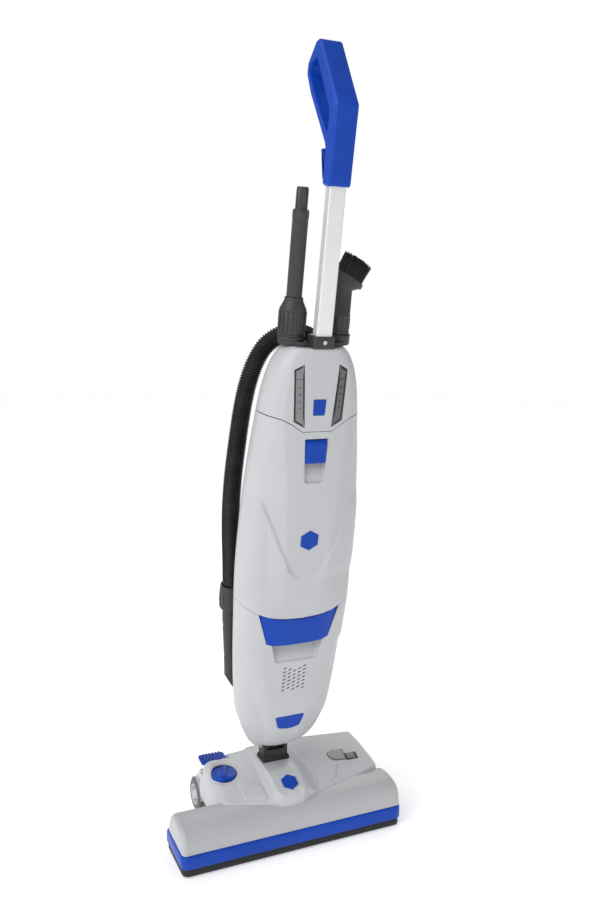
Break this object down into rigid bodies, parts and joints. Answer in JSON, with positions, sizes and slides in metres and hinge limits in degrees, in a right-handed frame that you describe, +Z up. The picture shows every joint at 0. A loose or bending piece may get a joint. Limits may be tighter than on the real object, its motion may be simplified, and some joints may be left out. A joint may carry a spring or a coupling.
{
  "type": "upright vacuum cleaner",
  "caption": "Battery upright vacuum cleaner: wide powered nozzle base, reclining leaning body with bag door, side hose, wand, dusting brush and looped stick handle.",
  "frame": {"origin": "on the floor, under the middle of the machine's bounding box", "axes": "+X to the machine's right as seen from the front of the nozzle facing back, +Y towards the rear wheels, +Z up"},
  "size_m": [0.43, 0.3956, 1.3562],
  "materials": {
    "shell_plastic": "satin moulded",
    "blue_plastic": "semi-gloss moulded",
    "dark_plastic": "satin moulded",
    "black_plastic": "matt moulded",
    "black_rubber": "matt",
    "grey_tyre": "matt",
    "hose_rubber": "semi-matt corrugated",
    "smoked_plastic": "glossy smoked",
    "tube_metal": "satin anodised",
    "steel": "turned",
    "motor_alloy": "cast",
    "battery_case": "matt coated",
    "bristle": "dense nylon filaments",
    "fleece": "non-woven fleece",
    "circuit_board": "solder mask"
  },
  "bodies": {
    "base": {"base_chassis": "black_plastic", "front_bumper": "blue_plastic", "rubber_skirt": "black_rubber", "nozzle_hood": "shell_plastic", "top_cover": "shell_plastic", "pedal_pin": "steel", "base_badge": "blue_plastic", "status_window": "smoked_plastic", "rear_axle": "steel", "neck_yoke": "black_plastic", "neck_collar": "black_rubber", "pivot_pin": "steel"},
    "body": {"neck_tongue": "black_plastic", "rear_shell": "shell_plastic", "lower_front_cover": "shell_plastic", "foot_badge": "blue_plastic", "top_housing": "shell_plastic", "display_window_left": "smoked_plastic", "display_window_right": "smoked_plastic", "suction_motor": "motor_alloy", "exhaust_filter": "fleece", "battery_pack": "battery_case", "dust_bag": "fleece", "control_board": "circuit_board", "hose_duct": "dark_plastic", "hose_cuff": "dark_plastic", "suction_hose": "hose_rubber", "hose_elbow": "dark_plastic", "tool_holder": "dark_plastic", "handle_tube": "tube_metal", "handle_grip": "blue_plastic"},
    "wheel_left": {"wheel_hub_left": "shell_plastic", "tyre_left": "grey_tyre"},
    "wheel_right": {"wheel_hub_right": "shell_plastic", "tyre_right": "grey_tyre"},
    "roller_left": {"front_roller_left": "dark_plastic"},
    "roller_right": {"front_roller_right": "dark_plastic"},
    "knob": {"height_knob": "blue_plastic"},
    "pedal": {"release_pedal": "blue_plastic"},
    "service_latch": {"service_latch": "dark_plastic"},
    "brush_cassette": {"brush_carriage": "dark_plastic", "brush_motor": "motor_alloy", "drive_belt": "black_rubber"},
    "brush_roll": {"brush_roll": "bristle"},
    "motor_pulley": {"motor_pulley": "motor_alloy"},
    "fan": {"suction_fan": "black_plastic"},
    "door": {"bag_door": "shell_plastic", "body_badge": "blue_plastic"},
    "door_latch": {"bag_door_latch": "blue_plastic"},
    "filter_latch": {"filter_latch": "blue_plastic"},
    "power_button": {"power_button": "blue_plastic"},
    "wand": {"wand_sleeve": "dark_plastic", "wand_tube": "dark_plastic"},
    "wand_tip": {"wand_tip": "dark_plastic"},
    "duster": {"duster_body": "dark_plastic", "duster_bristles": "bristle"}
  },
  "joints": [
    {"name": "body_recline", "type": "hinge", "parent": "base", "child": "body", "pos_m": [0, 0.07543, 0.15243], "axis": [-1, 0, 0], "range_deg": [0, 75]},
    {"name": "wheel_left_spin", "type": "hinge", "parent": "base", "child": "wheel_left", "pos_m": [-0.121, 0.166, 0.03], "axis": [1, 0, 0], "continuous": true},
    {"name": "wheel_right_spin", "type": "hinge", "parent": "base", "child": "wheel_right", "pos_m": [0.168, 0.166, 0.03], "axis": [1, 0, 0], "continuous": true},
    {"name": "roller_left_spin", "type": "hinge", "parent": "base", "child": "roller_left", "pos_m": [-0.2, -0.028, 0.008], "axis": [1, 0, 0], "continuous": true},
    {"name": "roller_right_spin", "type": "hinge", "parent": "base", "child": "roller_right", "pos_m": [0.2, -0.028, 0.008], "axis": [1, 0, 0], "continuous": true},
    {"name": "knob_turn", "type": "hinge", "parent": "base", "child": "knob", "pos_m": [-0.097, 0.08, 0.1], "axis": [0, 0, 1], "range_deg": [0, 270]},
    {"name": "brush_height", "type": "slide", "parent": "base", "child": "brush_cassette", "axis": [0, 0, 1], "range_m": [0, 0.0031]},
    {"name": "brush_spin", "type": "hinge", "parent": "brush_cassette", "child": "brush_roll", "pos_m": [0, -0.004, 0.03], "axis": [1, 0, 0], "continuous": true},
    {"name": "motor_pulley_spin", "type": "hinge", "parent": "brush_cassette", "child": "motor_pulley", "pos_m": [0.172, 0.09, 0.042], "axis": [1, 0, 0], "continuous": true},
    {"name": "pedal_press", "type": "hinge", "parent": "base", "child": "pedal", "pos_m": [-0.103, 0.125, 0.098], "axis": [-1, 0, 0], "range_deg": [0, 10], "stiffness_Nm_per_rad": 1.5},
    {"name": "service_latch_slide", "type": "slide", "parent": "base", "child": "service_latch", "axis": [1, 0, 0], "range_m": [0, 0.004]},
    {"name": "button_press", "type": "slide", "parent": "body", "child": "power_button", "axis": [0, 0.9822, 0.1881], "range_m": [0, 0.0025], "stiffness_N_per_m": 800},
    {"name": "door_open", "type": "hinge", "parent": "body", "child": "door", "pos_m": [0, -0.05004, 0.43762], "axis": [1, 0, 0], "range_deg": [0, 70]},
    {"name": "door_latch_slide", "type": "slide", "parent": "door", "child": "door_latch", "axis": [0, 0.1881, -0.9822], "range_m": [0, 0.006], "stiffness_N_per_m": 500},
    {"name": "filter_latch_pull", "type": "hinge", "parent": "body", "child": "filter_latch", "pos_m": [0, -0.05207, 0.45139], "axis": [-1, 0, 0], "range_deg": [0, 18], "stiffness_Nm_per_rad": 0.6},
    {"name": "wand_lift", "type": "slide", "parent": "body", "child": "wand", "axis": [0, -0.1881, 0.9822], "range_m": [0, 0.15]},
    {"name": "wand_extend", "type": "slide", "parent": "wand", "child": "wand_tip", "axis": [0, -0.1881, 0.9822], "range_m": [0, 0.12]},
    {"name": "duster_lift", "type": "slide", "parent": "body", "child": "duster", "axis": [0, -0.1881, 0.9822], "range_m": [0, 0.1]},
    {"name": "fan_spin", "type": "hinge", "parent": "body", "child": "fan", "pos_m": [0, 0.03704, 0.27846], "axis": [0, -0.1881, 0.9822], "continuous": true}
  ],
  "couplings": [
    {"joint": "motor_pulley_spin", "follows": "brush_spin", "ratio": 1.125}
  ]
}
